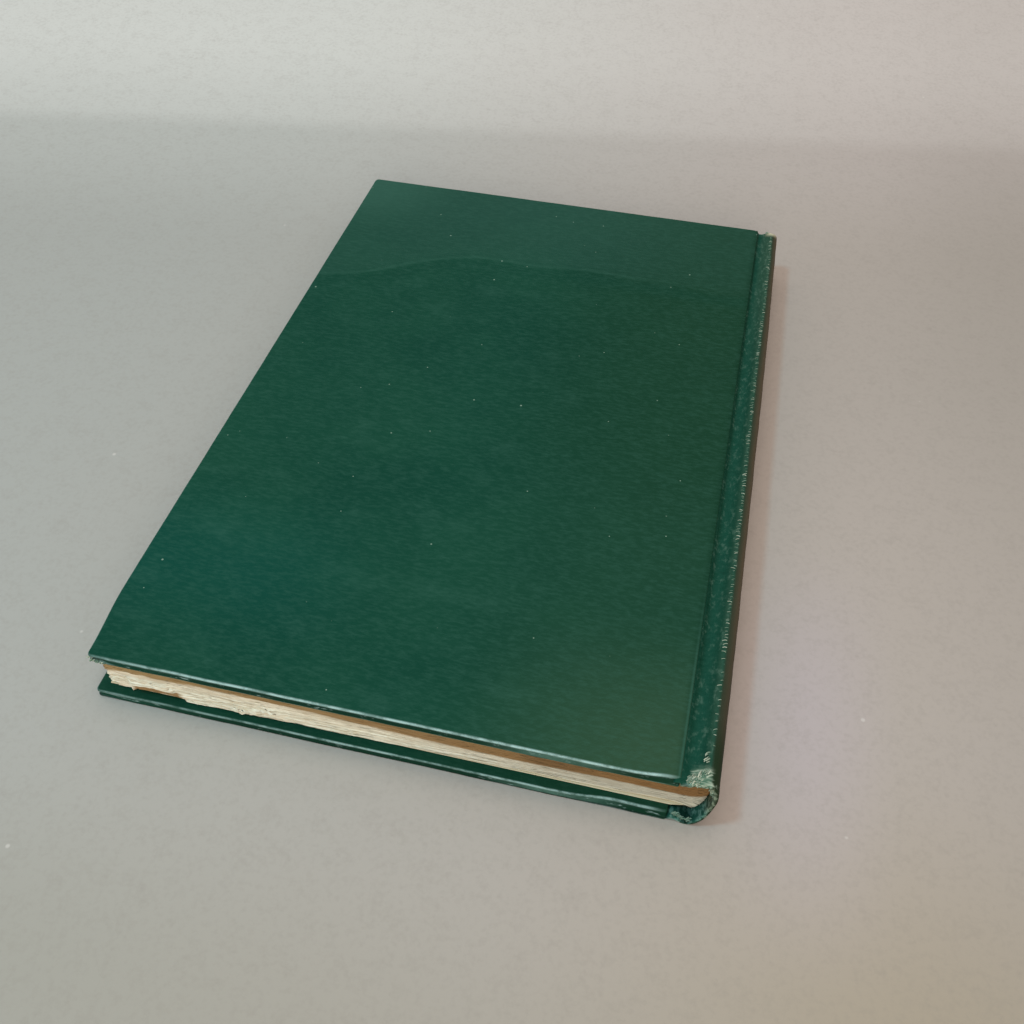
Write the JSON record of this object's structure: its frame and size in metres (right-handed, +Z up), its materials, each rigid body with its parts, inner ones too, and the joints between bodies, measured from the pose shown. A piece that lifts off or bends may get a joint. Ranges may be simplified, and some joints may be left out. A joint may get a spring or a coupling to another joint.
{
  "type": "hardback book",
  "caption": "Thin cloth-bound hardback book lying flat, with grooved joints, a hollow back and a deckled text block; both covers open.",
  "frame": {"origin": "middle of the closed book's plan, on the surface that it lies on", "axes": "+Y along the spine from tail to head, +X towards the spine, +Z up through the rear cover"},
  "size_m": [0.1638, 0.24, 0.0199],
  "materials": {
    "cloth": "satin",
    "board": "matte",
    "endpaper": "matte",
    "spine_card": "matte",
    "lining_paper": "matte",
    "gauze": "matte",
    "leaves": "matte"
  },
  "bodies": {
    "book_block": {"text_block": "leaves", "mull": "gauze", "spine_lining": "lining_paper", "spine_strip": "spine_card", "spine_cloth": "cloth"},
    "rear_cover": {"rear_board": "board", "rear_cover_cloth": "cloth", "rear_pastedown": "endpaper"},
    "front_cover": {"front_board": "board", "front_cover_cloth": "cloth", "front_pastedown": "endpaper"}
  },
  "joints": [
    {"name": "rear_joint", "type": "hinge", "parent": "book_block", "child": "rear_cover", "pos_m": [0.0784, 0, 0.0175], "axis": [0, 1, 0], "range_deg": [0, 178]},
    {"name": "front_joint", "type": "hinge", "parent": "book_block", "child": "front_cover", "pos_m": [0.0763, 0, 0.0023], "axis": [0, -1, 0], "range_deg": [0, 178]}
  ]
}
